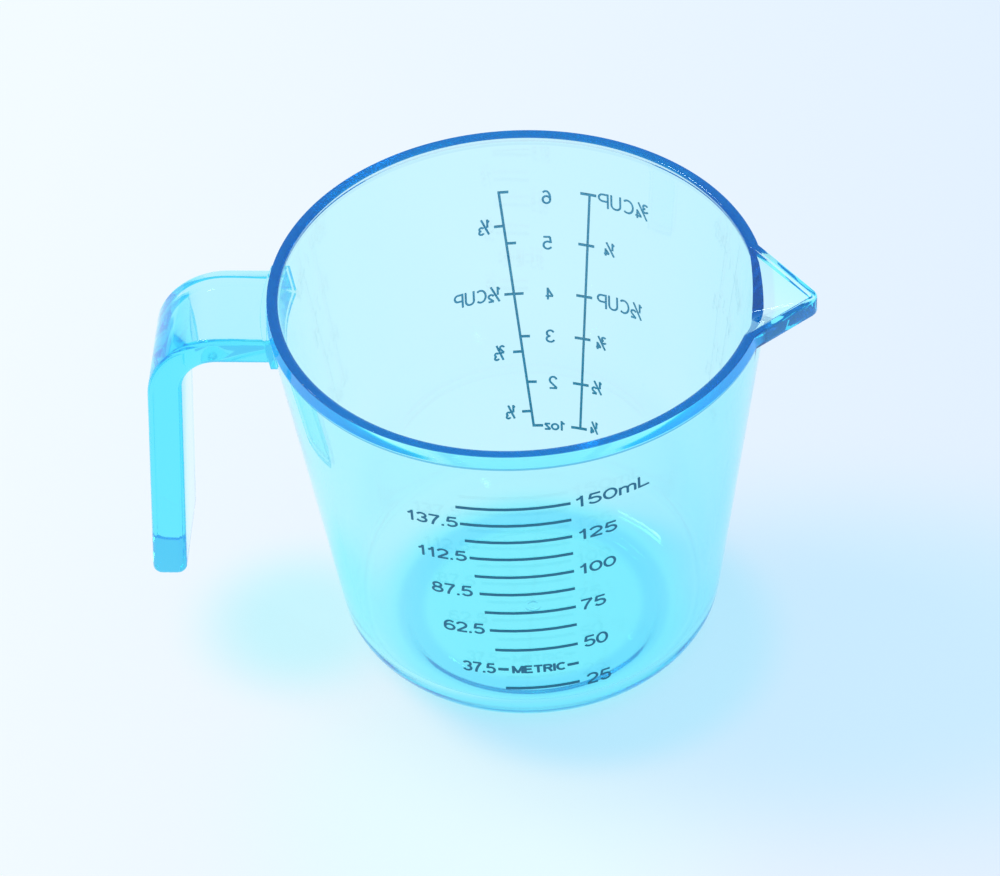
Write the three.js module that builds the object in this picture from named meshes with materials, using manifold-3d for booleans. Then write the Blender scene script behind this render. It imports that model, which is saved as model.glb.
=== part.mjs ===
// A small measuring cup for the kitchen: a clear tinted cup with a pouring spout, a handle bent from
// a solid rounded bar that hangs from under the rim, and scales printed on the outside of the wall.
// Millimetres, +Z up. The origin is on the cup's axis, in the plane that the foot ring stands on.
// The handle points to -X, the spout to +X, the metric scale faces -Y and the ounce scale +Y.

import * as THREE from "three";
import { ConvexGeometry } from "three/addons/geometries/ConvexGeometry.js";
import { mergeVertices } from "three/addons/utils/BufferGeometryUtils.js";
import Module from "manifold-3d";

const wasm = await Module();
wasm.setup();

// Cup body
const cupHeight = 65.7;
const mouthRadius = 36.1;
const wallSlope = 0.1506; // radius gained for each mm of height
const wallThickness = 2.1;
const baseThickness = 2.4;
const cornerRadius = 8.6; // outside, between the base and the wall
const floorRadius = 6.4; // inside, between the floor and the wall
const bodySegments = 96;

// Rim band
const bandDepth = 2.4;
const bandStand = 0.15; // how far its lower edge stands out from the wall
const bandDraft = 0.35; // how much narrower its top is than its lower edge
const lipRound = 0.5; // outer top edge
const mouthRound = 0.1; // inner top edge

// Foot ring and gate mark
const footRadius = 20.9;
const footWidth = 3.9;
const footDepth = 0.5;
const footSlope = 0.8; // how far each flank of the ring runs in from its root
const gateRadius = 1.3;
const gateWidth = 0.5;
const gateHeight = 0.25;

// Spout
const spoutReach = 45.2; // from the cup's axis to the tip
const spoutHalfAngle = THREE.MathUtils.degToRad(46.7);
const spoutWall = 1.1;
const spoutTipRadius = 2.2;
const spoutDrop = 0.9; // how far the tip lies below the rim
const spoutSide = 2.9; // height of the side face at the tip
const spoutFloor = 1.5; // thickness under the keel of the trough
const spoutTipWall = 0.5; // depth of the trough at its tip
const notchDepth = 5.1; // how far the trough cuts down into the wall
const notchFlank = 0.63; // rise of the trough's flanks for each mm of width
const notchRound = 1.2; // half-axis of the rounded keel

// Handle
const handleWidth = 16.9;
const armDrop = 3.45; // from the rim down to the arm's top
const armHeight = 4.7;
const legReach = 56.2; // from the cup's axis to the leg's outer face below the bend
const legDepth = 5.3;
const legLean = THREE.MathUtils.degToRad(2.9);
const legBottom = 14;
const legEndRound = 1.5;
const outerBend = 12;
const innerBend = 5.6;
const handleRound = 0.9;
const padThickness = 1;
const padMargin = 0.7; // how far the root pad shows round the arm
const handleGap = 0.2;

// Printed scales
const inkThickness = 0.12;
const inkGap = 0.05;
const metricLine = 0.5;
const backLine = 0.4;
const metricTilt = 0.03; // rise of a line for each mm to the right
const metricMiddle = 1;
const metricLeftTop = -7.45;
const metricLeftBottom = -2.05;
const metricRightTop = 9.6;
const metricRightBottom = 9.15;
const metricTop = 54.25; // the 150 mL mark
const metricBottom = 11.4; // the 25 mL mark
// Each mark's share of the way down from the top mark to the bottom mark
const metricShares = {
  150: 0,
  137.5: 0.0898,
  125: 0.1809,
  112.5: 0.2742,
  100: 0.3734,
  87.5: 0.4702,
  75: 0.5729,
  62.5: 0.6733,
  50: 0.783,
  25: 1,
};
const dashHeight = 16; // the 37.5 mL mark, split by the unit's word
const leftDashStart = -3;
const leftDashEnd = -1.4;
const rightDashStart = 7.5;
const rightDashEnd = 9.2;
const tickLength = 1.55;
const ounceTop = 54.7;
const ounceTopX = -5.3;
const ounceBottom = 11.7;
const ounceBottomX = -1.07;
const ounceTicks = [
  { share: 0, right: true },
  { share: 0.1412, left: true },
  { share: 0.2153, right: true },
  { share: 0.4306, left: true, right: true },
  { share: 0.6134, right: true },
  { share: 0.6782, left: true },
  { share: 0.8102, right: true },
  { share: 0.9375, left: true },
  { share: 1, right: true },
];
const cupTop = 55;
const cupTopX = 9.25;
const cupBottom = 11.75;
const cupBottomX = 6.6;
const cupTickShares = [0, 0.2132, 0.4311, 0.6118, 0.8088, 1];
const cupTickLeft = 1.5;
const cupTickRight = 1.1;

const wallAngle = Math.atan(wallSlope);
const mouthOuterRadius = mouthRadius + wallThickness;
const outerAt = (z) => mouthOuterRadius - wallSlope * (cupHeight - z);
const innerAt = (z) => mouthRadius - wallSlope * (cupHeight - z);
const floorHeight = footDepth + baseThickness;

// Booleans: a closed geometry becomes a solid, and a solid becomes a geometry again.
function toSolid(geometry) {
  const bare = geometry.clone();
  bare.deleteAttribute("normal");
  bare.deleteAttribute("uv");
  const merged = mergeVertices(bare, 1e-4);
  const solid = new wasm.Manifold(
    new wasm.Mesh({
      numProp: 3,
      vertProperties: merged.attributes.position.array,
      triVerts: new Uint32Array(merged.index.array),
    }),
  );
  return solid;
}

function toGeometry(solid) {
  const mesh = solid.getMesh();
  const geometry = new THREE.BufferGeometry();
  geometry.setAttribute("position", new THREE.BufferAttribute(mesh.vertProperties, 3));
  geometry.setIndex(new THREE.BufferAttribute(mesh.triVerts, 1));
  geometry.computeVertexNormals();
  return geometry;
}

// A solid of revolution about Z from [radius, height] pairs.
function revolve(pairs) {
  const points = pairs.map(([radius, height]) => new THREE.Vector2(radius, height));
  const geometry = new THREE.LatheGeometry(points, bodySegments);
  geometry.rotateX(Math.PI / 2);
  return toSolid(geometry);
}

// Points of an arc in a profile, from one angle to another.
function arc(centreX, centreZ, radius, from, to, steps) {
  const pairs = [];
  for (let i = 0; i <= steps; i++) {
    const angle = from + ((to - from) * i) / steps;
    pairs.push([centreX + radius * Math.cos(angle), centreZ + radius * Math.sin(angle)]);
  }
  return pairs;
}

// A shape drawn in the XZ plane and extruded along Y with rounded edges, centred on y = 0.
function extrudeAcross(shape, width, round) {
  const geometry = new THREE.ExtrudeGeometry(shape, {
    depth: width - 2 * round,
    bevelEnabled: true,
    bevelThickness: round,
    bevelSize: round,
    bevelOffset: -round,
    bevelSegments: 3,
    curveSegments: 14,
  });
  geometry.translate(0, 0, -(width - 2 * round) / 2);
  geometry.rotateX(Math.PI / 2);
  return toSolid(geometry);
}

// The cup without its spout: everything inside the outer faces, and the space that it holds.
function cupOuter() {
  const bandRadius = outerAt(cupHeight - bandDepth) + bandStand;
  const lipRadius = bandRadius - bandDraft;
  const cornerHeight = footDepth + cornerRadius;
  const cornerCentre = outerAt(cornerHeight) - cornerRadius / Math.cos(wallAngle);
  return revolve([
    [0, footDepth],
    ...arc(cornerCentre, cornerHeight, cornerRadius, -Math.PI / 2, -wallAngle, 9),
    [outerAt(cupHeight - bandDepth), cupHeight - bandDepth],
    [bandRadius, cupHeight - bandDepth],
    ...arc(lipRadius - lipRound, cupHeight - lipRound, lipRound, 0, Math.PI / 2, 4),
    [0, cupHeight],
  ]);
}

function cupSpace() {
  const cornerHeight = floorHeight + floorRadius;
  const cornerCentre = innerAt(cornerHeight) - floorRadius / Math.cos(wallAngle);
  const brim = cupHeight - mouthRound;
  const above = cupHeight + mouthRound;
  return revolve([
    [0, floorHeight],
    ...arc(cornerCentre, cornerHeight, floorRadius, -Math.PI / 2, -wallAngle, 7),
    [innerAt(brim), brim],
    [innerAt(brim) + mouthRound * 0.3, cupHeight - mouthRound * 0.3],
    [innerAt(brim) + mouthRound, cupHeight],
    [innerAt(brim) + mouthRound, above],
    [0, above],
  ]);
}

// The foot ring, rooted in the base.
function footRing() {
  const inner = footRadius - footWidth;
  const root = footDepth + baseThickness / 2;
  return revolve([
    [inner + footSlope, 0],
    [footRadius - footSlope, 0],
    [footRadius, footDepth],
    [footRadius, root],
    [inner, root],
    [inner, footDepth],
    [inner + footSlope, 0],
  ]);
}

// The small raised ring that the moulding gate leaves under the base.
function gateMark() {
  const inner = gateRadius - gateWidth;
  const low = footDepth - gateHeight;
  const root = footDepth + baseThickness / 2;
  return revolve([
    [inner, low],
    [gateRadius, low],
    [gateRadius, root],
    [inner, root],
    [inner, low],
  ]);
}

// The spout. Its outside and its trough are both convex, so each is the hull of its edge curves.
const tipCentre = spoutReach - spoutTipRadius;
const outerApex = tipCentre + spoutTipRadius / Math.sin(spoutHalfAngle);
const innerApex = outerApex - spoutWall / Math.sin(spoutHalfAngle);
const keelHeight = cupHeight - notchDepth;
const notchPlane = innerAt(keelHeight); // where the keel meets the inside of the wall
const notchHalf = (innerApex - notchPlane) * Math.tan(spoutHalfAngle);
const spoutRoot = mouthOuterRadius * Math.cos(Math.asin(notchHalf / mouthRadius));
const spoutFall = spoutDrop / (spoutReach - spoutRoot);
const spoutTop = (x) => cupHeight - spoutFall * Math.max(0, x - spoutRoot);
const notchCurve = (y) => keelHeight - notchRound + Math.hypot(notchRound, notchFlank * y);

function spoutOutside() {
  const turn = Math.PI / 2 - spoutHalfAngle;
  const outline = arc(tipCentre, 0, spoutTipRadius, -turn, turn, 8);
  const back = notchPlane - wallThickness / 2;
  const backHalf = (outerApex - back) * Math.tan(spoutHalfAngle);
  const points = [];
  for (const [x, y] of outline) {
    points.push(new THREE.Vector3(x, y, spoutTop(x)));
    points.push(new THREE.Vector3(x, y, spoutTop(x) - spoutSide));
  }
  const rootHalf = (outerApex - spoutRoot) * Math.tan(spoutHalfAngle);
  for (const side of [-1, 1]) {
    points.push(new THREE.Vector3(spoutRoot, side * rootHalf, cupHeight));
    points.push(new THREE.Vector3(back, side * backHalf, cupHeight));
    points.push(new THREE.Vector3(back, side * backHalf, cupHeight - bandDepth));
  }
  const steps = 16;
  for (let i = 0; i <= steps; i++) {
    const y = notchHalf * ((2 * i) / steps - 1);
    const low = notchCurve(y) - spoutFloor;
    if (low < cupHeight - bandDepth) points.push(new THREE.Vector3(notchPlane, y, low));
  }
  return toSolid(new ConvexGeometry(points));
}

function spoutTrough() {
  const tip = new THREE.Vector3(innerApex, 0, spoutTop(innerApex) - spoutTipWall);
  const above = cupHeight + notchDepth;
  const inward = 1.15; // the trough runs on into the cup's space
  const points = [tip, tip.clone().setZ(above)];
  const steps = 24;
  for (let i = 0; i <= steps; i++) {
    const y = notchHalf * ((2 * i) / steps - 1);
    const edge = new THREE.Vector3(notchPlane, y, notchCurve(y));
    edge.sub(tip).multiplyScalar(inward).add(tip);
    points.push(edge);
    points.push(edge.clone().setZ(above));
  }
  return toSolid(new ConvexGeometry(points));
}

function cupBody() {
  const outside = cupOuter().add(footRing()).add(gateMark()).add(spoutOutside());
  return outside.subtract(cupSpace()).subtract(spoutTrough());
}

// The handle's side view: an arm, a bend and a leg, with the leg leaning out a little.
function handleOutline() {
  const armTop = cupHeight - armDrop;
  const bendX = -(legReach - outerBend);
  const bendZ = armTop - outerBend;
  const turned = Math.PI - legLean;
  const down = new THREE.Vector2(-Math.sin(legLean), -Math.cos(legLean));
  const out = new THREE.Vector2(-Math.cos(legLean), Math.sin(legLean));
  const bend = new THREE.Vector2(bendX, bendZ);
  const along = (from, z) => from.clone().addScaledVector(down, (from.y - z) / Math.cos(legLean));
  const outerStart = bend.clone().addScaledVector(out, outerBend);
  const innerStart = outerStart.clone().addScaledVector(out, -legDepth);
  const innerBendStart = innerStart.clone().addScaledVector(out, -innerBend);
  const innerCentre = along(innerBendStart, armTop - armHeight - innerBend);
  const outerEnd = along(outerStart, legBottom);
  const innerEnd = along(innerStart, legBottom);
  return { armTop, bend, turned, down, out, along, innerCentre, outerEnd, innerEnd };
}

function handleSolid() {
  const h = handleOutline();
  const wallEnd = -(mouthRadius - wallThickness);
  const shape = new THREE.Shape();
  shape.moveTo(wallEnd, h.armTop);
  shape.lineTo(h.bend.x, h.armTop);
  shape.absarc(h.bend.x, h.bend.y, outerBend, Math.PI / 2, h.turned, false);
  const outerLow = h.outerEnd.clone().addScaledVector(h.down, -legEndRound);
  shape.lineTo(outerLow.x, outerLow.y);
  shape.quadraticCurveTo(h.outerEnd.x, h.outerEnd.y, h.outerEnd.x + legEndRound, legBottom);
  shape.lineTo(h.innerEnd.x - legEndRound, legBottom);
  const innerLow = h.innerEnd.clone().addScaledVector(h.down, -legEndRound);
  shape.quadraticCurveTo(h.innerEnd.x, h.innerEnd.y, innerLow.x, innerLow.y);
  shape.absarc(h.innerCentre.x, h.innerCentre.y, innerBend, h.turned, Math.PI / 2, true);
  shape.lineTo(wallEnd, h.armTop - armHeight);
  shape.closePath();
  return extrudeAcross(shape, handleWidth, handleRound);
}

// The root pad: a slice of a shell that follows the wall behind the arm.
function handlePad() {
  const top = cupHeight - armDrop + handleRound / 2;
  const bottom = cupHeight - armDrop - armHeight - padMargin;
  const shell = revolve([
    [outerAt(bottom) - wallThickness / 2, bottom],
    [outerAt(bottom) + handleGap + padThickness, bottom],
    [outerAt(top) + handleGap + padThickness, top],
    [outerAt(top) - wallThickness / 2, top],
    [outerAt(bottom) - wallThickness / 2, bottom],
  ]);
  const half = handleWidth / 2 + padMargin;
  const block = new THREE.BoxGeometry(mouthRadius, 2 * half, cupHeight);
  block.translate(-mouthRadius, 0, cupHeight / 2);
  return shell.intersect(toSolid(block));
}

// The wall with a little clearance, which the handle is cut back to.
function wallClearance() {
  return revolve([
    [0, 0],
    [outerAt(0) + handleGap, 0],
    [outerAt(cupHeight) + handleGap, cupHeight],
    [0, cupHeight],
  ]);
}

function handle() {
  return handleSolid().add(handlePad()).subtract(wallClearance());
}

// A thin film of ink round the wall, from which each printed mark is cut.
function inkShell() {
  const low = footDepth + cornerRadius;
  const high = cupHeight - bandDepth;
  const near = inkGap / Math.cos(wallAngle);
  const far = (inkGap + inkThickness) / Math.cos(wallAngle);
  return revolve([
    [outerAt(low) + near, low],
    [outerAt(low) + far, low],
    [outerAt(high) + far, high],
    [outerAt(high) + near, high],
    [outerAt(low) + near, low],
  ]);
}

// A straight stroke from one [x, z] point to another, as a prism that crosses one side of the wall.
function stroke([x0, z0], [x1, z1], width, side) {
  const length = Math.hypot(x1 - x0, z1 - z0);
  const prism = new THREE.BoxGeometry(length, mouthOuterRadius, width);
  prism.rotateY(-Math.atan2(z1 - z0, x1 - x0));
  prism.translate((x0 + x1) / 2, (side * mouthOuterRadius) / 2 + side, (z0 + z1) / 2);
  return toSolid(prism);
}

function print(strokes) {
  const drawn = strokes.reduce((all, next) => all.add(next));
  return inkShell().intersect(drawn);
}

function metricMark(left, right, height) {
  const at = (x) => [x, height + metricTilt * (x - metricMiddle)];
  return print([stroke(at(left), at(right), metricLine, -1)]);
}

function ounceScale() {
  const strokes = [stroke([ounceTopX, ounceTop], [ounceBottomX, ounceBottom], backLine, 1)];
  for (const tick of ounceTicks) {
    const x = THREE.MathUtils.lerp(ounceTopX, ounceBottomX, tick.share);
    const z = THREE.MathUtils.lerp(ounceTop, ounceBottom, tick.share);
    const left = x - (tick.left ? tickLength : backLine / 2);
    const right = x + (tick.right ? tickLength : backLine / 2);
    strokes.push(stroke([left, z], [right, z], backLine, 1));
  }
  return print(strokes);
}

function cupScale() {
  const strokes = [stroke([cupTopX, cupTop], [cupBottomX, cupBottom], backLine, 1)];
  for (const share of cupTickShares) {
    const x = THREE.MathUtils.lerp(cupTopX, cupBottomX, share);
    const z = THREE.MathUtils.lerp(cupTop, cupBottom, share);
    strokes.push(stroke([x - cupTickLeft, z], [x + cupTickRight, z], backLine, 1));
  }
  return print(strokes);
}

const cup = new THREE.Group();

function addNode(name, solid, look) {
  const mesh = new THREE.Mesh(toGeometry(solid), new THREE.MeshStandardMaterial(look));
  mesh.name = name;
  cup.add(mesh);
}

const bodyLook = { color: 0xb4f2fb, roughness: 0.06, metalness: 0, transparent: true, opacity: 0.45 };
const handleLook = { color: 0x66d8f6, roughness: 0.06, metalness: 0, transparent: true, opacity: 0.6 };
const inkLook = { color: 0x23555f, roughness: 0.5, metalness: 0 };

addNode("cup_body", cupBody(), bodyLook);
addNode("handle", handle(), handleLook);

for (const [volume, share] of Object.entries(metricShares)) {
  const left = THREE.MathUtils.lerp(metricLeftTop, metricLeftBottom, share);
  const right = THREE.MathUtils.lerp(metricRightTop, metricRightBottom, share);
  const height = THREE.MathUtils.lerp(metricTop, metricBottom, share);
  addNode("metric_mark_" + volume.replace(".", "_"), metricMark(left, right, height), inkLook);
}
addNode("metric_dash_37_5_left", metricMark(leftDashStart, leftDashEnd, dashHeight), inkLook);
addNode("metric_dash_37_5_right", metricMark(rightDashStart, rightDashEnd, dashHeight), inkLook);
addNode("ounce_scale", ounceScale(), inkLook);
addNode("cup_scale", cupScale(), inkLook);

export default cup;
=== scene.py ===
import math

import bpy
from mathutils import Matrix, Vector


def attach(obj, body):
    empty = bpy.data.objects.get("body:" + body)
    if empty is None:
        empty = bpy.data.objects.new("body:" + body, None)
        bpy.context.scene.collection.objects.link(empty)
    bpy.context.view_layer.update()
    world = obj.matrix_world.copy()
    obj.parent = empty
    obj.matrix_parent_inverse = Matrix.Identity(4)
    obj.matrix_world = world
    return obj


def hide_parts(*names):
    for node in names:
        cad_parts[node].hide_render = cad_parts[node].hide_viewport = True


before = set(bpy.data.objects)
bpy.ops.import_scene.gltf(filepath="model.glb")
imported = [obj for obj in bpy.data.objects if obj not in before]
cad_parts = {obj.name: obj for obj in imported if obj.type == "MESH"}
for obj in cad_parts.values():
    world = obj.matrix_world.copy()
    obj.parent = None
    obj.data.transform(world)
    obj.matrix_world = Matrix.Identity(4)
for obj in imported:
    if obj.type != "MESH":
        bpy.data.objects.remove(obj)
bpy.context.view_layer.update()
mm = 0.001
near = 0.001 * mm  # places closer than this count as the same
print("frame loaded:", len(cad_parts), "nodes")


# Selection and small modelling helpers

def startPiece():
    bpy.ops.object.select_all(action="DESELECT")


def activate(piece):
    startPiece()
    piece.select_set(True)
    bpy.context.view_layer.objects.active = piece


def nameActive(name):
    piece = bpy.context.active_object
    piece.name = name
    piece.data.name = name
    return piece


def settle(piece):
    # The place, turn and size go into the mesh, so the object sits at the origin.
    activate(piece)
    bpy.ops.object.transform_apply(location=True, rotation=True, scale=True)
    return piece


def joined(name, parts):
    startPiece()
    for part in parts:
        part.select_set(True)
    bpy.context.view_layer.objects.active = parts[0]
    bpy.ops.object.join()
    return settle(nameActive(name))


def editMode(piece, mode):
    activate(piece)
    bpy.ops.object.mode_set(mode="EDIT")
    bpy.ops.mesh.select_mode(type=mode)
    bpy.ops.mesh.select_all(action="DESELECT")


def leaveEdit():
    bpy.ops.object.mode_set(mode="OBJECT")


def pickEdges(piece, test):
    # The test gets the two ends of each edge.
    editMode(piece, "EDGE")
    leaveEdit()
    verts = piece.data.vertices
    for edge in piece.data.edges:
        a, b = (verts[i].co for i in edge.vertices)
        edge.select = test(a, b)
    bpy.ops.object.mode_set(mode="EDIT")


def pickFaces(piece, test):
    editMode(piece, "FACE")
    leaveEdit()
    for face in piece.data.polygons:
        face.select = test(face.center, face.normal)
    bpy.ops.object.mode_set(mode="EDIT")


def roundEdges(piece, test, radius, steps):
    pickEdges(piece, test)
    bpy.ops.mesh.bevel(offset=radius * mm, segments=steps, affect="EDGES")
    leaveEdit()


def faceOutwards(piece):
    editMode(piece, "FACE")
    bpy.ops.mesh.select_all(action="SELECT")
    bpy.ops.mesh.normals_make_consistent(inside=False)
    leaveEdit()


def combine(piece, other, operation):
    # One boolean, applied at once, after which the other solid isn't needed.
    step = piece.modifiers.new(operation.lower(), "BOOLEAN")
    step.operation = operation
    step.object = other
    step.solver = "MANIFOLD"
    activate(piece)
    bpy.ops.object.modifier_apply(modifier=step.name)
    bpy.data.objects.remove(other)
    return piece


def finishMesh(piece, material, angle=32):
    # Edges sharper than the angle, in degrees, stay crisp.
    activate(piece)
    bpy.ops.object.shade_smooth_by_angle(angle=math.radians(angle))
    coat(piece, material)


def coat(piece, material):
    piece.data.materials.clear()
    piece.data.materials.append(material)


def turned(name, rings, sides):
    # A solid of revolution, drawn out ring by ring from a disc at its foot to a disc at its top.
    startPiece()
    radius, height = rings[0]
    bpy.ops.mesh.primitive_circle_add(
        vertices=sides, radius=radius * mm, fill_type="NGON", location=(0, 0, height * mm))
    piece = settle(nameActive(name))
    editMode(piece, "EDGE")
    bpy.ops.mesh.select_all(action="SELECT")
    for step, (nextRadius, nextHeight) in enumerate(rings[1:]):
        if step == 0:
            bpy.ops.mesh.select_mode(type="FACE")
        bpy.ops.mesh.extrude_region_move(
            TRANSFORM_OT_translate={"value": (0, 0, (nextHeight - height) * mm)})
        share = nextRadius / radius
        bpy.ops.transform.resize(value=(share, share, 1), center_override=(0, 0, 0))
        radius, height = nextRadius, nextHeight
    leaveEdit()
    faceOutwards(piece)
    return piece


def arcRings(centreRadius, centreHeight, radius, start, end, steps):
    rings = []
    for i in range(steps + 1):
        angle = start + (end - start) * i / steps
        rings.append((centreRadius + radius * math.cos(angle), centreHeight + radius * math.sin(angle)))
    return rings


def hullOf(name, parts):
    # The parts are joined, and a skin is drawn tight over them.
    piece = joined(name, parts)
    editMode(piece, "VERT")
    bpy.ops.mesh.select_all(action="SELECT")
    bpy.ops.mesh.convex_hull(join_triangles=True)
    bpy.ops.mesh.select_all(action="SELECT")
    bpy.ops.mesh.remove_doubles(threshold=5 * near)
    bpy.ops.mesh.normals_make_consistent(inside=False)
    leaveEdit()
    return piece


# Camera, at the photograph's viewing angle

view = {
    "place": (72.25, -788.83, 747.62),
    "turn": 5.5,
    "down": 41.943,
    "roll": -3.23,
    "lens": 250.26,
    "sensor": 36,
    "clip": (0.01, 20),
}


def makeCamera():
    startPiece()
    bpy.ops.object.camera_add()
    camera = bpy.context.active_object
    camera.name = "photoCamera"
    aim = Matrix.Rotation(math.radians(view["turn"]), 4, "Z")
    aim = aim @ Matrix.Rotation(math.radians(90 - view["down"]), 4, "X")
    aim = aim @ Matrix.Rotation(math.radians(view["roll"]), 4, "Z")
    camera.matrix_world = Matrix.Translation(Vector(view["place"]) * mm) @ aim
    camera.data.sensor_width = view["sensor"]
    camera.data.lens = view["lens"]
    camera.data.clip_start, camera.data.clip_end = view["clip"]
    bpy.context.scene.camera = camera


# Shader maths as expressions

class Value:
    def __init__(self, maker, socket):
        self.maker = maker
        self.socket = socket

    def maths(self, operation, first, second):
        return self.maker.node("ShaderNodeMath", {"operation": operation}, {0: first, 1: second})

    def __add__(self, other):
        return self.maths("ADD", self, other)

    def __radd__(self, other):
        return self.maths("ADD", other, self)

    def __sub__(self, other):
        return self.maths("SUBTRACT", self, other)

    def __rsub__(self, other):
        return self.maths("SUBTRACT", other, self)

    def __mul__(self, other):
        return self.maths("MULTIPLY", self, other)

    def __rmul__(self, other):
        return self.maths("MULTIPLY", other, self)


class Finish:
    def __init__(self, owner, output="ShaderNodeOutputMaterial"):
        # The owner is a new material or world, which keeps only its output node.
        self.owner = owner
        owner.use_nodes = True
        self.tree = owner.node_tree
        self.tree.nodes.clear()
        self.output = self.tree.nodes.new(output)

    def node(self, kind, settings, sockets, out=0):
        made = self.tree.nodes.new(kind)
        for name, value in settings.items():
            if name == "ramp":
                while len(made.color_ramp.elements) < len(value):
                    made.color_ramp.elements.new(0.5)
                for stop, (place, colour) in zip(made.color_ramp.elements, value):
                    stop.position = place
                    stop.color = colour
            else:
                setattr(made, name, value)
        for name, value in sockets.items():
            self.put(made.inputs[name], value)
        return Value(self, made.outputs[out])

    def put(self, socket, value):
        if isinstance(value, Value):
            self.tree.links.new(value.socket, socket)
        else:
            socket.default_value = value

    def objectPlace(self):
        return self.node("ShaderNodeTexCoord", {}, {}, "Object")

    def noise(self, scale, detail, roughness):
        return self.node("ShaderNodeTexNoise", {}, {
            "Vector": self.objectPlace(), "Scale": scale, "Detail": detail, "Roughness": roughness})

    def close(self, surface, volume=None):
        self.tree.links.new(surface.socket, self.output.inputs["Surface"])
        if volume:
            self.tree.links.new(volume.socket, self.output.inputs["Volume"])
        return self.owner


def newFinish(name):
    return Finish(bpy.data.materials.new(name))


# Distances from the axis, a plane or a place, then ramps and blends, for the shaders

def along(made, axes):
    part = made.node("ShaderNodeVectorMath", {"operation": "MULTIPLY"}, {0: made.objectPlace(), 1: axes})
    return made.node("ShaderNodeVectorMath", {"operation": "LENGTH"}, {0: part}, "Value")


def towards(made, way):
    return made.node("ShaderNodeVectorMath", {"operation": "DOT_PRODUCT"}, {
        0: made.objectPlace(), 1: way}, "Value")


def away(made, place, centre):
    return made.node("ShaderNodeVectorMath", {"operation": "DISTANCE"}, {0: place, 1: centre}, "Value")


def ramp(value, start, end, shape="LINEAR"):
    return value.maker.node("ShaderNodeMapRange", {"interpolation_type": shape}, {
        "Value": value, "From Min": start, "From Max": end})


def blend(share, first, second):
    return share.maker.node("ShaderNodeMix", {"data_type": "RGBA"}, {0: share, 6: first, 7: second}, 2)


# The two plastics, clear and tinted through their depth, each with a painted glow inside

cupPlastic = {
    "tint": (0.985, 0.998, 1.0, 1),
    "shine": (0.75, 0.99, 1.0, 1),
    "ior": 1.56,
    "absorb": (150.0, 10.0, 3.5),  # for each metre of way, in red, green and blue
    "glowLevels": (0.0, 0.06, 0.3),  # what a very long way through the plastic looks like, held up by a painted glow
    "ripple": 0.06,
    "paintedRimLight": True,
}
handlePlastic = {
    "tint": (0.985, 0.998, 1.0, 1),
    "shine": (0.75, 0.99, 1.0, 1),
    "ior": 1.52,
    "absorb": (118.0, 12.0, 1.2),
    "glowLevels": (0.02, 0.2, 0.65),
    "ripple": 0.08,
    "paintedRimLight": False,
}
polish = {
    "wearNoise": (260, 4, 0.6),  # scale, detail and roughness, as in the other noises
    "wear": 0.03,
    "least": 0.012,
    "flowNoise": (48, 2, 0.45),
    "waveHeight": 0.4,
}


def makeClearPlastic(name, look):
    made = newFinish(name)
    paintedRimLight = look["paintedRimLight"]
    wear = made.noise(*polish["wearNoise"])
    flow = made.noise(*polish["flowNoise"])
    waves = made.node("ShaderNodeBump", {}, {
        "Strength": look["ripple"], "Distance": polish["waveHeight"] * mm, "Height": flow})
    # On the cup, the rim band's colour carries a painted shade line and its emission a painted glow.
    shell = made.node("ShaderNodeBsdfPrincipled", {}, {
        "Base Color": paintBandShadeLine(made, look["tint"]) if paintedRimLight else look["tint"],
        "Roughness": wear * polish["wear"] + polish["least"],
        "IOR": look["ior"],
        "Specular Tint": look["shine"],
        "Transmission Weight": 1.0,
        "Normal": waves,
        "Emission Color": paintBandGlow(made) if paintedRimLight else (0, 0, 0, 1),
        "Emission Strength": 1.0 if paintedRimLight else 0.0,
    })
    density = max(look["absorb"])
    passed = tuple(1 - share / density for share in look["absorb"]) + (1,)
    taken = made.node("ShaderNodeVolumeAbsorption", {}, {"Color": passed, "Density": density})
    # A painted glow inside the plastic stands in for a little light scattered back on long ways, so thick
    # places turn azure and not black.
    glowGains = [share * depth for share, depth in zip(look["absorb"], look["glowLevels"])]
    paintedGlow = made.node("ShaderNodeEmission", {}, {
        "Color": tuple(gain / max(glowGains) for gain in glowGains) + (1,), "Strength": max(glowGains)})
    return made.close(shell, made.node("ShaderNodeAddShader", {}, {0: taken, 1: paintedGlow}))


# The printed ink

inkLook = {
    "dark": (0.004, 0.14, 0.25, 1),
    "pale": (0.010, 0.19, 0.32, 1),
    "behind": (0.28, 0.56, 0.88, 1),  # the side that lies against the plastic, painted far paler than the face as painted light for what reaches it through the wall
    "inward": (-0.004, -0.012),  # a face's turn outwards times its distance from the axis, in metres
    "stops": (0.3, 0.75),
    "grainNoise": (5200, 3, 0.6),
    "grainHeight": 0.03,
    "grainShare": 0.2,
    "least": 0.35,
    "grain": 0.2,
    "ior": 1.4,
}


def makeInk():
    made = newFinish("screenInk")
    grain = made.noise(*inkLook["grainNoise"])
    colours = list(zip(inkLook["stops"], (inkLook["dark"], inkLook["pale"])))
    face = made.node("ShaderNodeValToRGB", {"ramp": colours}, {"Fac": grain})
    outward = made.node("ShaderNodeVectorMath", {"operation": "MULTIPLY"}, {
        0: made.objectPlace(), 1: (1, 1, 0)})
    facing = made.node("ShaderNodeNewGeometry", {}, {}, "True Normal")
    turn = made.node("ShaderNodeVectorMath", {"operation": "DOT_PRODUCT"}, {0: outward, 1: facing}, "Value")
    # The face against the plastic takes the paler painted-light colour.
    shade = blend(ramp(turn, *inkLook["inward"]), face, inkLook["behind"])
    skin = made.node("ShaderNodeBump", {}, {
        "Strength": inkLook["grainShare"], "Distance": inkLook["grainHeight"] * mm, "Height": grain})
    film = made.node("ShaderNodeBsdfPrincipled", {}, {
        "Base Color": shade, "Roughness": grain * inkLook["grain"] + inkLook["least"],
        "IOR": inkLook["ior"], "Normal": skin})
    return made.close(film)


# The cup: a turned body with a rim band and foot ring, and a spout let into the rim

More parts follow.
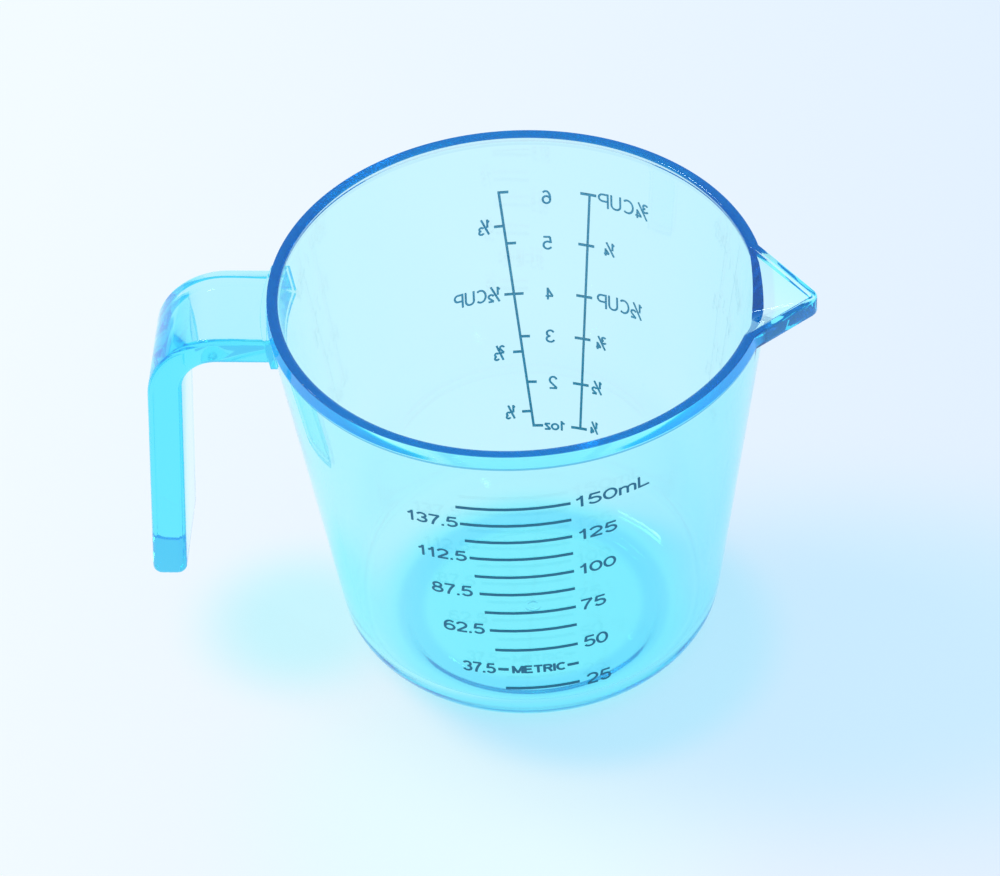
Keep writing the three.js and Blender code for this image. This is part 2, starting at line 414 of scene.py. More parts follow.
cup = {
    "height": 65.7,
    "mouthRadius": 36.1,
    "wallSlope": 0.1506,
    "wall": 2.1,
    "base": 2.4,
    "cornerRadius": 8.6,
    "floorRadius": 6.4,
    "bandDepth": 2.4,
    "bandStand": 0.12,
    "bandDraft": 0.32,
    "lipRound": 0.2,
    "bandFlare": 0.33,
    "mouthRound": 1.0,
    "mouthStart": 0.57,  # of the mouth's rounding, outwards from the mouth's radius
    "mouthTurn": 45,
    "mouthBlend": 0.45,
    "guard": 0.08,  # between a ring that keeps the shading true and the edge beside it
    "footRadius": 20.9,
    "footWidth": 3.9,
    "footDepth": 0.5,
    "panelHeight": 0.25,  # of the base inside the foot ring, above the plane that the cup stands on
    "innerFlank": 2.3,
    "outerFlank": 2.2,
    "gateRadius": 1.3,
    "gateWidth": 0.5,
    "gateHeight": 0.12,
    "spaceCentre": 6,  # radius of the disc that the inside is drawn up from
    "headroom": 2,
    "sides": 256,
    "outsideRings": (12, 62, 3),  # heights of the plain wall's rings: first, end and step
    "insideRings": (12, 64, 3),
    "cornerSteps": 22,
    "floorSteps": 18,
    "flankSteps": 8,
    "lipSteps": 7,
    "blendSteps": 6,
    "mouthSteps": 8,
}


def outerAt(height):
    return cup["mouthRadius"] + cup["wall"] - cup["wallSlope"] * (cup["height"] - height)


def innerAt(height):
    return cup["mouthRadius"] - cup["wallSlope"] * (cup["height"] - height)


# The rim's painted glow and painted shade line: distances in mm, each a start and an end of a change

rimPaintedLight = {
    # painted glow of the band's outer face
    "colour": (0.012, 0.21, 0.39, 1),
    "inside": (-0.44, -0.24),  # beyond the wall's outer radius under the band
    "bottom": (0.15, 0.3),  # above the band's lower edge
    "top": (-0.15, -0.2),  # above the brim
    "side": (9, 27),
    "spoutSide": (8.6, 9.8),
    "spoutFront": (-2, 0),  # towards the handle from the cup's axis
    # painted glow on the spout
    "spoutColour": (0.006, 0.085, 0.13, 1),
    "spoutInside": (0.76, 1.16),
    # the painted shade line under the band
    "line": (0.08, 0.36, 0.66, 1),
    "lineBottom": (-0.24, -0.16),
    "lineTop": (0.3, 0.22),
    "lineFront": (-12, 12),
    "lineBehind": 0.2,  # of the line's strength in front
}


def rimRamp(value, name, base=0.0):
    start, end = ((base + step) * mm for step in rimPaintedLight[name])
    return ramp(value, start, end)


def clearOfSpout(made):
    return made.node("ShaderNodeMath", {"operation": "MAXIMUM"}, {
        0: rimRamp(towards(made, (-1, 0, 0)), "spoutFront"),
        1: rimRamp(along(made, (0, 1, 0)), "spoutSide")})


def paintBandGlow(made):
    # A painted glow on the rim band's outer face stands in for the light it carries round to the sides, which
    # makes it azure, and a painted glow on the spout does the same.
    bandLow = cup["height"] - cup["bandDepth"]
    height = along(made, (0, 0, 1))
    radius = along(made, (1, 1, 0))
    facing = 1.0 - made.node("ShaderNodeNewGeometry", {}, {}, "Backfacing")
    share = rimRamp(radius, "inside", outerAt(bandLow)) * rimRamp(along(made, (1, 0, 0)), "side")
    share = share * rimRamp(height, "bottom", bandLow) * rimRamp(height, "top", cup["height"])
    bandGlow = blend(share * clearOfSpout(made) * facing, (0, 0, 0, 1), rimPaintedLight["colour"])
    return blend(rimRamp(radius, "spoutInside", outerAt(bandLow)) * facing, bandGlow, rimPaintedLight["spoutColour"])


def paintBandShadeLine(made, tint):
    # Painted shade: the edge under the band is a fine darker line, stronger on the metric side.
    bandLow = cup["height"] - cup["bandDepth"]
    height = along(made, (0, 0, 1))
    share = rimRamp(along(made, (1, 1, 0)), "inside", outerAt(bandLow)) * clearOfSpout(made)
    share = share * rimRamp(height, "lineBottom", bandLow) * rimRamp(height, "lineTop", bandLow)
    front = rimRamp(towards(made, (0, -1, 0)), "lineFront")
    return blend(share * (front * (1 - rimPaintedLight["lineBehind"]) + rimPaintedLight["lineBehind"]), tint, rimPaintedLight["line"])


def cupOutside():
    lean = math.atan(cup["wallSlope"])
    bandLow = cup["height"] - cup["bandDepth"]
    bandRadius = outerAt(bandLow) + cup["bandStand"]
    lipRadius = bandRadius - cup["bandDraft"]
    cornerHeight = cup["footDepth"] + cup["cornerRadius"]
    cornerCentre = outerAt(cornerHeight) - cup["cornerRadius"] / math.cos(lean)
    footIn = cup["footRadius"] - cup["footWidth"]
    gateIn = cup["gateRadius"] - cup["gateWidth"]
    panel = cup["panelHeight"]
    gateLow = panel - cup["gateHeight"]
    rings = [
        (gateIn, panel),
        (gateIn, gateLow),
        (cup["gateRadius"], gateLow),
        (cup["gateRadius"], panel),
        (footIn - cup["innerFlank"] / 2, panel),
    ]
    steps = cup["flankSteps"]
    for i in range(1, steps + 1):
        share = 0.5 + 0.5 * math.cos(math.pi * i / steps)
        rings.append((footIn + cup["innerFlank"] * (i / steps - 0.5), panel * share))
    for i in range(steps + 1):
        share = 0.5 - 0.5 * math.cos(math.pi * i / steps)
        rings.append((cup["footRadius"] + cup["outerFlank"] * (i / steps - 1), cup["footDepth"] * share))
    corner = cup["cornerRadius"]
    rings += arcRings(cornerCentre, cornerHeight, corner, -math.pi / 2, -lean, cup["cornerSteps"])
    rings += [(outerAt(height), height) for height in range(*cup["outsideRings"])]
    guard = cup["guard"]
    slope = (bandRadius - lipRadius) / (cup["height"] - cup["lipRound"] - bandLow)
    rings += [(outerAt(bandLow - guard), bandLow - guard), (outerAt(bandLow), bandLow)]
    flareTop = bandLow + cup["bandFlare"]
    rings += [(bandRadius - slope * cup["bandFlare"], flareTop)]
    rings += [(bandRadius - slope * (cup["bandFlare"] + guard), flareTop + guard)]
    lip = cup["lipRound"]
    rings += [(lipRadius + slope * guard, cup["height"] - lip - guard)]
    rings += arcRings(lipRadius - lip, cup["height"] - lip, lip, 0, math.pi / 2, cup["lipSteps"])
    rings += [(lipRadius - lip - guard, cup["height"])]
    return turned("cupShell", rings, cup["sides"])


def cupSpace():
    lean = math.atan(cup["wallSlope"])
    floor = cup["footDepth"] + cup["base"]
    cornerHeight = floor + cup["floorRadius"]
    cornerCentre = innerAt(cornerHeight) - cup["floorRadius"] / math.cos(lean)
    soft = cup["mouthRound"]
    turn = math.radians(cup["mouthTurn"])
    mouth = cup["mouthRadius"] + cup["mouthStart"]
    rings = [(cup["spaceCentre"], floor)]
    corner = cup["floorRadius"]
    rings += arcRings(cornerCentre, cornerHeight, corner, -math.pi / 2, -lean, cup["floorSteps"])
    rings += [(innerAt(height), height) for height in range(*cup["insideRings"])]
    brim = cup["height"] - soft * (1 - math.cos(turn))
    inset = innerAt(brim) - (mouth - soft * math.sin(turn))
    steps = cup["blendSteps"]
    for i in range(steps + 1):
        height = brim - cup["mouthBlend"] * (1 - i / steps)
        rings.append((innerAt(height) - inset * (0.5 - 0.5 * math.cos(math.pi * i / steps)), height))
    up = math.pi / 2
    rings += arcRings(mouth, cup["height"] - soft, soft, up + turn, up, cup["mouthSteps"])[1:]
    rings += [(mouth, cup["height"] + cup["headroom"])]
    return turned("cupSpace", rings, cup["sides"])


spout = {
    "reach": 45.2,
    "halfAngle": 46.7,
    "wall": 1.1,
    "tipRadius": 2.2,
    "drop": 0.9,
    "side": 2.9,
    "floor": 1.5,
    "tipDepth": 0.8,  # of the trough at its tip
    "notchDepth": 5.1,
    "keelRadius": 3.0,
    "keelLift": 1.5,  # of the keel's round end above its lowest part
    "root": 36.5,
    "edge": 0.35,
    "overrun": 1.15,  # the trough runs on into the cup's space
    "tipInside": 0.12,
    "tipInset": 0.15,
    "headroom": 4.0,
    "sheet": 0.02,
    "edgeSteps": 4,
    "cornerSides": (24, 16),
    "barSides": 72,
    "troughSides": 96,
    "tipSides": 16,
}


def spoutPlan():
    # Half the angle between its sides, the reach at which they would meet, and where its keel meets the wall.
    half = math.radians(spout["halfAngle"])
    apex = spout["reach"] - spout["tipRadius"] + spout["tipRadius"] / math.sin(half)
    keel = cup["height"] - spout["notchDepth"]
    return half, apex, keel, innerAt(keel)


def smallBlock(low, high):
    centre = [(a + b) / 2 * mm for a, b in zip(low, high)]
    startPiece()
    bpy.ops.mesh.primitive_cube_add(size=1, location=centre)
    block = bpy.context.active_object
    block.scale = [(b - a) * mm for a, b in zip(low, high)]
    return settle(block)


def roundBar(radius, depth, centre, sides, turn=(0, 0, 0)):
    startPiece()
    bpy.ops.mesh.primitive_cylinder_add(
        vertices=sides, radius=radius * mm, depth=depth * mm,
        location=[c * mm for c in centre], rotation=turn)
    return settle(bpy.context.active_object)


def lowerHalf(bar, height):
    editMode(bar, "FACE")
    bpy.ops.mesh.select_all(action="SELECT")
    bpy.ops.mesh.bisect(plane_co=(0, 0, height * mm), plane_no=(0, 0, 1), clear_outer=True)
    leaveEdit()
    return bar


def spoutOutside():
    half, apex, keel, plane = spoutPlan()
    top = cup["height"]
    sheet = spout["sheet"]
    back = plane - cup["wall"] / 2
    backHalf = (apex - back) * math.tan(half)
    root = spout["root"]
    rootHalf = (apex - root) * math.tan(half)
    tipCentre = spout["reach"] - spout["tipRadius"]
    tipTop = top - spout["drop"]
    bend = spout["keelRadius"] + spout["floor"]
    sides = spout["barSides"]
    tip = roundBar(spout["tipRadius"], spout["side"], (tipCentre, 0, tipTop - spout["side"] / 2), sides)
    roundEdges(tip, lambda a, b: abs(a.z - b.z) < near, spout["edge"], spout["edgeSteps"])
    parts = [
        tip,
        smallBlock((back, -backHalf, top - cup["bandDepth"]), (back + sheet, backHalf, top)),
        lowerHalf(
            roundBar(bend, sheet, (plane, 0, keel + spout["keelRadius"]), sides, (0, math.pi / 2, 0)),
            keel + spout["keelRadius"] - spout["keelLift"]),
    ]
    inset = spout["edge"]
    segments, rings = spout["cornerSides"]
    for side in (-1, 1):
        for height in (top - inset, top - cup["bandDepth"] + inset):
            startPiece()
            bpy.ops.mesh.primitive_uv_sphere_add(
                segments=segments, ring_count=rings, radius=inset * mm,
                location=(root * mm, side * (rootHalf - inset) * mm, height * mm))
            parts.append(settle(bpy.context.active_object))
    return hullOf("spoutOutside", parts)


def spoutTrough():
    half, outerApex, keel, plane = spoutPlan()
    apex = outerApex - spout["wall"] / math.sin(half)
    run = spout["overrun"]
    sheet = spout["sheet"]
    tipTop = cup["height"] - spout["drop"] * (apex - spout["root"]) / (spout["reach"] - spout["root"])
    tipLow = tipTop - spout["tipDepth"]
    start = apex - run * (apex - plane)
    bend = spout["keelRadius"] * run
    keelCentre = tipLow + run * (keel + spout["keelRadius"] - tipLow)
    cornerHalf = run * ((apex - plane) * math.tan(half))
    cornerLow = tipLow + run * (cup["height"] - tipLow)
    high = cup["height"] + spout["headroom"]
    middle = (apex - spout["tipInset"], 0, (high + tipLow) / 2)
    parts = [
        roundBar(spout["tipInside"], high - tipLow, middle, spout["tipSides"]),
        smallBlock((start, -cornerHalf, cornerLow), (start + sheet, cornerHalf, high)),
        roundBar(bend, sheet, (start, 0, keelCentre), spout["troughSides"], (0, math.pi / 2, 0)),
    ]
    return hullOf("spoutTrough", parts)


def makeCup(plastic):
    piece = cupOutside()
    combine(piece, spoutOutside(), "UNION")
    combine(piece, cupSpace(), "DIFFERENCE")
    combine(piece, spoutTrough(), "DIFFERENCE")
    finishMesh(piece, plastic)
    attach(piece, "root")
    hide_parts("cup_body")
    print("cup made:", len(piece.data.polygons), "faces")


# The handle: a solid rounded bar, bent from the arm down into the leg

handle = {
    "width": 16.9,
    "armDrop": 3.45,
    "armHeight": 4.7,
    "armEnd": 33.0,
    "legReach": 56.2,
    "legDepth": 5.3,
    "legLean": 2.9,
    "legBottom": 14.0,
    "endRound": 1.5,
    "outerBend": 12.0,
    "innerBend": 5.6,
    "edge": 0.9,
    "pad": 1.0,
    "padMargin": 0.7,
    "padEdge": 0.8,
    "padSpan": (-45, -30),  # the block that the pad is cut from
    "padHeights": (50, 66),
    "seat": 0.03,  # between the handle's root and the cup's wall
    "seatHeights": (0.5, 68),
    "innerSteps": 20,
    "outerSteps": 32,
    "endSteps": 6,
    "edgeSteps": 6,
    "padSteps": 5,
}


def roundAcross(piece, place, radius, steps):
    # Rounds the edges across the handle that pass through a place in its side view.
    spot = Vector((place[0], 0, place[1])) * mm

    def passes(a, b):
        return a.y * b.y < 0 and math.hypot(a.x - spot.x, a.z - spot.z) < 0.2 * mm

    roundEdges(piece, passes, radius, steps)


def makeHandleBar():
    # A flat L in side view: the arm's block, with the leg drawn down from its outer end.
    top = cup["height"] - handle["armDrop"]
    low = top - handle["armHeight"]
    bottom = handle["legBottom"]
    lean = math.tan(math.radians(handle["legLean"]))
    reach = handle["legReach"] - lean * handle["outerBend"]
    split = reach - handle["legDepth"]
    side = handle["width"] / 2
    piece = smallBlock((-reach, -side, low), (-handle["armEnd"], side, top))
    piece.name = "handleShell"
    editMode(piece, "FACE")
    bpy.ops.mesh.select_all(action="SELECT")
    bpy.ops.mesh.bisect(plane_co=(-split * mm, 0, 0), plane_no=(1, 0, 0))
    leaveEdit()
    pickFaces(piece, lambda c, n: n.z < -0.9 and c.x < -split * mm)
    bpy.ops.mesh.extrude_region_move(TRANSFORM_OT_translate={"value": (0, 0, (bottom - low) * mm)})
    bpy.ops.transform.translate(value=(-lean * (top - bottom) * mm, 0, 0))
    leaveEdit()

    def legTop(a, b):
        level = max(abs(a.z - low * mm), abs(b.z - low * mm)) < near
        return level and max(a.x, b.x) < 10 * near - split * mm

    pickEdges(piece, legTop)
    bpy.ops.transform.translate(value=(-lean * handle["armHeight"] * mm, 0, 0))
    bpy.ops.mesh.select_all(action="SELECT")
    bpy.ops.mesh.dissolve_limited(angle_limit=math.radians(0.5))
    leaveEdit()
    split += lean * handle["armHeight"]
    tangent = math.tan(math.radians(90 - handle["legLean"]) / 2)  # of a bend's radius
    foot = reach + lean * (top - bottom)
    roundAcross(piece, (-split, low), handle["innerBend"] * tangent, handle["innerSteps"])
    roundAcross(piece, (-reach, top), handle["outerBend"] * tangent, handle["outerSteps"])
    for end in (-foot, -foot + handle["legDepth"]):
        roundAcross(piece, (end, bottom), handle["endRound"], handle["endSteps"])

    def alongSide(a, b):
        return min(abs(a.y), abs(b.y)) > side * mm - 10 * near and a.y * b.y > 0

    roundEdges(piece, alongSide, handle["edge"], handle["edgeSteps"])
    return piece


def wallCone(extra, ends, name):
    low, high = ends
    rings = [(outerAt(height) + extra, height) for height in (low, (low + high) / 2, high)]
    return turned(name, rings, cup["sides"])


def makePad():
    top = cup["height"] - handle["armDrop"] + handle["edge"] / 2
    bottom = cup["height"] - handle["armDrop"] - handle["armHeight"] - handle["padMargin"]
    half = handle["width"] / 2 + handle["padMargin"]
    outer, inner = handle["padSpan"]
    block = smallBlock((outer, -half, bottom), (inner, half, top))
    roundEdges(block, lambda a, b: abs(a.x - b.x) > near, handle["padEdge"], handle["padSteps"])
    outside = wallCone(handle["seat"] + handle["pad"], handle["padHeights"], "padCone")
    return combine(block, outside, "INTERSECT")


def makeHandle(plastic):
    piece = makeHandleBar()
    combine(piece, makePad(), "UNION")
    combine(piece, wallCone(handle["seat"], handle["seatHeights"], "seatCone"), "DIFFERENCE")
    finishMesh(piece, plastic)
    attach(piece, "root")
    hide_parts("handle")
    print("handle made:", len(piece.data.polygons), "faces")


# Lettering: plain numbers, fractions and unit words, drawn in strokes and wrapped round the wall

lettering = {
    "lift": 0.05,
    "film": 0.1,
    "frontStroke": 0.43,
    "backStroke": 0.36,
    "arcStep": 15,  # in degrees, in a sign's round strokes
    "smooth": 50,
    "heightShare": 0.5,  # of a stroke's width, taken off each text's height
}


def bow(x, y, wide, tall, start, end):
    # Points of an arc, with its angles in degrees, anticlockwise from the right.
    steps = max(2, round(abs(end - start) / lettering["arcStep"]))
    angles = [math.radians(start + (end - start) * i / steps) for i in range(steps + 1)]
    return [(x + wide * math.cos(angle), y + tall * math.sin(angle)) for angle in angles]


# Each sign's width and strokes, for a capital one unit tall
signs = {
    "0": (0.72, [bow(0.36, 0.5, 0.27, 0.435, 0, 372)]),
    "1": (0.55, [[(0.12, 0.7), (0.22, 0.75), (0.31, 0.84), (0.36, 0.95)], [(0.36, 1), (0.36, 0)]]),
    "2": (0.7, [bow(0.35, 0.68, 0.26, 0.255, 165, -40) + [(0.1, 0.09)], [(0.07, 0.065), (0.64, 0.065)]]),
    "3": (0.7, [bow(0.35, 0.715, 0.235, 0.22, 160, -90), bow(0.35, 0.285, 0.265, 0.22, 90, -160)]),
    "4": (0.7, [[(0.47, 0), (0.47, 1)], [(0.47, 0.93), (0.07, 0.3)], [(0.04, 0.3), (0.66, 0.3)]]),
    "5": (0.7, [[(0.62, 0.935), (0.17, 0.935)], [(0.2, 0.935), (0.14, 0.5)],
                bow(0.36, 0.33, 0.26, 0.265, 130, -150)]),
    "6": (0.72, [bow(0.36, 0.32, 0.27, 0.255, 0, 372),
                 bow(0.4, 0.5, 0.31, 0.435, 50, 180) + [(0.09, 0.35)]]),
    "7": (0.68, [[(0.07, 0.935), (0.64, 0.935)],
                 [(0.62, 0.93), (0.48, 0.7), (0.36, 0.45), (0.28, 0.2), (0.25, 0)]]),
    "8": (0.72, [bow(0.36, 0.72, 0.22, 0.21, 0, 372), bow(0.36, 0.28, 0.27, 0.22, 0, 372)]),
    ".": (0.26, [[(0.13, 0), (0.13, 0.14)]]),
    "m": (0.88, [[(0.09, 0), (0.09, 0.7)], bow(0.265, 0.46, 0.175, 0.2, 170, 0) + [(0.44, 0)],
                 bow(0.615, 0.46, 0.175, 0.2, 180, 0) + [(0.79, 0)]]),
    "L": (0.62, [[(0.1, 1), (0.1, 0)], [(0.1, 0.065), (0.58, 0.065)]]),
    "M": (0.84, [[(0.1, 0), (0.1, 1)], [(0.1, 0.95), (0.42, 0.05)], [(0.42, 0.05), (0.74, 0.95)],
                 [(0.74, 1), (0.74, 0)]]),
    "E": (0.68, [[(0.1, 0), (0.1, 1)], [(0.1, 0.935), (0.6, 0.935)], [(0.1, 0.52), (0.55, 0.52)],
                 [(0.1, 0.065), (0.62, 0.065)]]),
    "T": (0.68, [[(0.34, 0), (0.34, 0.95)], [(0.03, 0.935), (0.65, 0.935)]]),
    "R": (0.7, [[(0.1, 0), (0.1, 1)],
                [(0.1, 0.935)] + bow(0.38, 0.72, 0.2, 0.215, 90, -90) + [(0.1, 0.505)],
                [(0.38, 0.5), (0.6, 0)]]),
    "I": (0.22, [[(0.1, 0), (0.1, 1)]]),
    "U": (0.7, [[(0.1, 1)] + bow(0.35, 0.33, 0.25, 0.27, 180, 360) + [(0.6, 1)]]),
    "P": (0.66, [[(0.1, 0), (0.1, 1)],
                 [(0.1, 0.935)] + bow(0.38, 0.7, 0.21, 0.235, 90, -90) + [(0.1, 0.465)]]),
    "C": (0.72, [bow(0.4, 0.5, 0.31, 0.435, 50, 310)]),
    "o": (0.62, [bow(0.32, 0.355, 0.25, 0.295, 0, 372)]),
    "z": (0.56, [[(0.07, 0.655), (0.48, 0.655)], [(0.48, 0.64), (0.07, 0.08)],
                 [(0.06, 0.065), (0.5, 0.065)]]),
}
fraction = {
    "share": 0.58,
    "over": (0.0, 0.45),
    "slash": [(0.12, -0.05), (0.62, 1.05)],
    "under": (0.42, -0.05),
    "width": 0.86,
}

# Text, arc at its left and right ends, height of its middle, its own height, rise for each mm to the right
frontWords = [
    ("150mL", 10.34, 22.46, 54.70, 2.65, 0.03),
    ("125", 10.50, 16.66, 46.85, 2.55, 0.03),
    ("100", 10.29, 16.19, 38.70, 2.55, 0.03),
    ("75", 10.07, 14.23, 30.05, 2.5, 0.03),
    ("50", 10.33, 14.21, 21.05, 2.5, 0.03),
    ("25", 10.26, 14.37, 11.80, 2.5, 0.03),
    ("137.5", -15.58, -7.32, 50.00, 2.5, 0.09),
    ("112.5", -14.29, -6.39, 42.20, 2.5, 0.09),
    ("87.5", -12.52, -5.93, 33.90, 2.5, 0.08),
    ("62.5", -11.11, -4.56, 25.10, 2.5, 0.08),
    ("37.5", -8.60, -3.35, 15.75, 2.45, 0.05),
    ("METRIC", -0.91, 7.32, 16.05, 1.95, 0.03),
]
ounceWords = [
    ("6", 1.47, 3.03, 53.72, 2.35, 0.02),
    ("5", 1.37, 2.95, 45.46, 2.35, 0.02),
    ("4", 1.41, 2.99, 36.20, 2.3, 0.02),
    ("3", 1.34, 2.93, 28.40, 2.3, 0.02),
    ("2", 1.56, 3.16, 19.82, 2.3, 0.02),
    ("1oz", 0.53, 4.22, 11.80, 1.9, 0.0),
    ("1/3", -8.85, -6.81, 48.75, 2.9, 0.02),
    ("1/2CUP", -13.35, -5.52, 36.35, 2.9, 0.02),
    ("2/3", -7.13, -5.23, 25.60, 2.9, 0.02),
    ("1/3", -5.59, -3.84, 14.43, 2.7, 0.02),
]
cupWords = [
    ("3/4CUP", 10.69, 19.77, 54.50, 3.0, 0.02),
    ("1/4", 11.34, 13.55, 45.87, 2.6, 0.02),
    ("1/2CUP", 10.08, 18.39, 36.25, 3.0, 0.02),
    ("3/4", 9.57, 11.61, 28.43, 2.6, 0.02),
    ("1/2", 8.69, 10.73, 19.97, 2.6, 0.02),
    ("1/4", 8.16, 9.86, 12.35, 2.4, 0.02),
]


def wordStrokes(body):
    strokes = []
    pen = 0

    def draw(sign, x, y, share):
        for stroke in signs[sign][1]:
            strokes.append([(x + share * px, y + share * py) for px, py in stroke])

    if "/" in body:
        share = fraction["share"]
        draw(body[0], fraction["over"][0], fraction["over"][1], share)
        draw(body[2], fraction["under"][0], fraction["under"][1], share)
        strokes.append(fraction["slash"])
        pen = fraction["width"]
        body = body[3:]
    for sign in body:
        draw(sign, pen, 0, 1)
        pen += signs[sign][0]
    return strokes


def printWord(word, weight, behind):
    body, left, right, middle, tall, rise = word
    strokes = wordStrokes(body)
    xs = [x for stroke in strokes for x, y in stroke]
    ys = [y for stroke in strokes for x, y in stroke]
    alongScale = (right - left - weight) / (max(xs) - min(xs))
    upScale = (tall - weight * lettering["heightShare"]) / (max(ys) - min(ys))
    startPiece()
    line = bpy.data.curves.new("word", "CURVE")
    line.dimensions = "3D"
    line.twist_mode = "Z_UP"
    line.bevel_depth = weight / 2
    line.bevel_resolution = 2
    line.use_fill_caps = True
    for stroke in strokes:
        spline = line.splines.new("POLY")
        spline.points.add(len(stroke) - 1)
        for point, (x, y) in zip(spline.points, stroke):
            point.co = ((x - min(xs)) * alongScale + weight / 2, (y - min(ys)) * upScale, 0, 1)
    drawn = bpy.data.objects.new("word", line)
    bpy.context.collection.objects.link(drawn)
    drawn.select_set(True)
    bpy.context.view_layer.objects.active = drawn
    bpy.ops.object.convert(target="MESH")
    drawn = bpy.context.active_object
    side = 1 if behind else -1
    centre = (left + right) / 2
    low = middle - (max(ys) - min(ys)) * upScale / 2
    for v in drawn.data.vertices:
        arc = right - v.co.x if behind else left + v.co.x
        height = low + v.co.y + rise * (arc - centre)
        out = lettering["lift"] + lettering["film"] * (0.5 + v.co.z / weight)
        turn = arc / outerAt(height)
        radius = outerAt(height) + out
        v.co = Vector((radius * math.sin(turn), side * radius * math.cos(turn), height)) * mm
    return drawn


def makeWords(name, words, weight, behind, ink):
    piece = joined(name, [printWord(word, weight, behind) for word in words])
    faceOutwards(piece)
    finishMesh(piece, ink, lettering["smooth"])
    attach(piece, "root")
    print(name, "made:", len(piece.data.polygons), "faces")


# Floor, lamp and room

studio = {
    "floorSize": 8,
    "floorDrop": 0.02,  # below the plane that the cup stands on
    "floorColour": (0.86, 0.90, 1.0, 1),
    "strength": 1.03,
    "leftColour": (0.90, 0.965, 1.0, 1),
    "rightColour": (0.735, 0.85, 1.0, 1),
    "across": (-90, 110),
    "ringColour": (0.26, 0.74, 1.0, 1),  # the shadow where the foot ring stands
    "ringCentre": (0, 0.8, 0),
    "ringRadius": 19.3,
    "ringEdge": (1, 3.2),
    "ringShare": 0.8,
    "seenShare": 0.9,  # of the floor's own light in what the camera sees
    "throughShare": 1.0,
    "worldColour": (0.93, 0.96, 1.0, 1),
    "backdrop": (0.45, 0.70, 0.95, 1),
    "behind": (0.0, 0.5),
    "levels": [(0.0, 0.9), (0.25, 0.9), (0.6, 0.8), (1.0, 0.85)],  # of the room's light, from its horizon up
}
softbox = {
    "place": (-0.75, 0.5, 1.3),
    "aim": (0, 0, 0.03),
    "size": (0.12, 0.5),
    "power": 2.5,
}

# The light that the plastic throws on the floor is drawn there as painted light.
# Each glow has its centre, start and end in mm, its stretch and its colour.
glows = [
    ((-4, -46, 0), 10, 55, (1, 1, 1), (0.80, 0.98, 1.0, 1)),
    ((28, -12, 0), 12, 58, (0.6, 1, 1), (0.585, 0.83, 1.0, 1)),
    ((-36, -4, 0), 4, 24, (1, 1, 1), (0.58, 0.93, 1.0, 1)),
    ((10, -7, 0), 22, 34, (1, 1, 1), (0.47, 0.82, 1.0, 1)),
    ((0, 0, 0), 19, 30, (1, 1, 1), (0.37, 0.89, 1.0, 1)),
]


def makeFloor():
    startPiece()
    bpy.ops.mesh.primitive_plane_add(size=studio["floorSize"], location=(0, 0, -studio["floorDrop"] * mm))
    floor = bpy.context.active_object
    floor.name = "paleFloor"
    made = newFinish("paleFloor")
    place = made.objectPlace()
    across = ramp(towards(made, (1, 0, 0)), *(end * mm for end in studio["across"]))
    shown = blend(across, studio["leftColour"], studio["rightColour"])
    for centre, start, end, stretch, colour in glows:
        spot = made.node("ShaderNodeVectorMath", {"operation": "MULTIPLY"}, {0: place, 1: stretch})
        far = ramp(away(made, spot, Vector(centre) * mm), start * mm, end * mm, "SMOOTHERSTEP")
        shown = blend(1.0 - far, shown, colour)
    fromRing = made.node("ShaderNodeMath", {"operation": "ABSOLUTE"}, {
        0: away(made, place, Vector(studio["ringCentre"]) * mm) - studio["ringRadius"] * mm})
    start, end = studio["ringEdge"]
    clear = ramp(fromRing, start * mm, end * mm, "SMOOTHERSTEP")
    shown = blend((1.0 - clear) * studio["ringShare"], shown, studio["ringColour"])
    glow = made.node("ShaderNodeEmission", {}, {"Color": shown, "Strength": studio["strength"]})
    base = made.node("ShaderNodeBsdfPrincipled", {}, {
        "Base Color": studio["floorColour"], "Roughness": 0.6, "Specular IOR Level": 0.2})
    seen = made.node("ShaderNodeLightPath", {}, {}, "Is Camera Ray")
    through = made.node("ShaderNodeLightPath", {}, {}, "Is Transmission Ray")
    shine = made.node("ShaderNodeLightPath", {}, {}, "Is Glossy Ray")
    share = seen * studio["seenShare"] + (through + shine) * studio["throughShare"]
    both = made.node("ShaderNodeMixShader", {}, {0: share, 1: base, 2: glow})
    floor.data.materials.append(made.close(both))


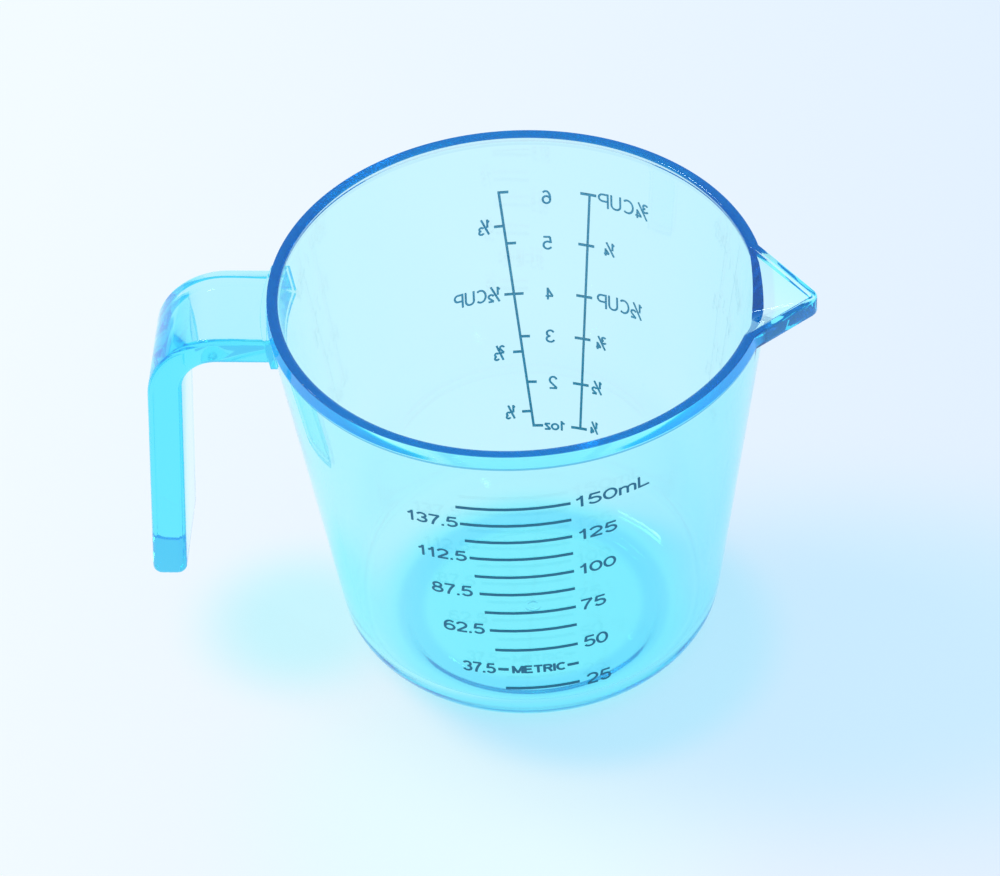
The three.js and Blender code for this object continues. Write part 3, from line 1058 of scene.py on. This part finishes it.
def makeLamp():
    startPiece()
    bpy.ops.object.light_add(type="AREA", location=softbox["place"])
    lamp = bpy.context.active_object
    lamp.name = "leftSoftbox"
    lamp.data.shape = "RECTANGLE"
    lamp.data.size, lamp.data.size_y = softbox["size"]
    lamp.data.energy = softbox["power"]
    way = Vector(softbox["aim"]) - Vector(softbox["place"])
    lamp.rotation_euler = way.to_track_quat("-Z", "Y").to_euler()


def makeRoom():
    # A blue backdrop behind the cup, and a room that is a little dimmer half-way up.
    world = bpy.data.worlds.new("softRoom")
    bpy.context.scene.world = world
    made = Finish(world, "ShaderNodeOutputWorld")
    way = made.node("ShaderNodeTexCoord", {}, {}, "Generated")
    rise = made.node("ShaderNodeSeparateXYZ", {}, {"Vector": way}, "Z")
    back = made.node("ShaderNodeSeparateXYZ", {}, {"Vector": way}, "Y")
    greys = [(place, (level, level, level, 1)) for place, level in studio["levels"]]
    room = made.node("ShaderNodeValToRGB", {"ramp": greys}, {"Fac": rise})
    behind = ramp(back, *studio["behind"], "SMOOTHSTEP")
    tint = made.node("ShaderNodeMix", {"data_type": "RGBA", "blend_type": "MULTIPLY"}, {
        0: 1.0, 6: room, 7: studio["worldColour"]}, 2)
    level = blend(behind, tint, studio["backdrop"])
    made.close(made.node("ShaderNodeBackground", {}, {"Color": level, "Strength": 1.0}))


bounces = 300  # light that is trapped in the rim and the foot comes out only after very many


def main():
    scene = bpy.context.scene
    scene.view_settings.view_transform = "Standard"
    scene.cycles.max_bounces = bounces
    scene.cycles.transmission_bounces = bounces
    scene.cycles.glossy_bounces = bounces
    scene.cycles.transparent_max_bounces = 24
    makeCamera()
    cupMade = makeClearPlastic("clearTealPlastic", cupPlastic)
    handleMade = makeClearPlastic("deepTealPlastic", handlePlastic)
    ink = makeInk()
    makeCup(cupMade)
    makeHandle(handleMade)
    makeWords("metricLettering", frontWords, lettering["frontStroke"], False, ink)
    makeWords("ounceLettering", ounceWords, lettering["backStroke"], True, ink)
    makeWords("cupLettering", cupWords, lettering["backStroke"], True, ink)
    for name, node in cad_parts.items():
        if name not in ("cup_body", "handle"):
            coat(node, ink)
    makeFloor()
    makeLamp()
    makeRoom()


main()
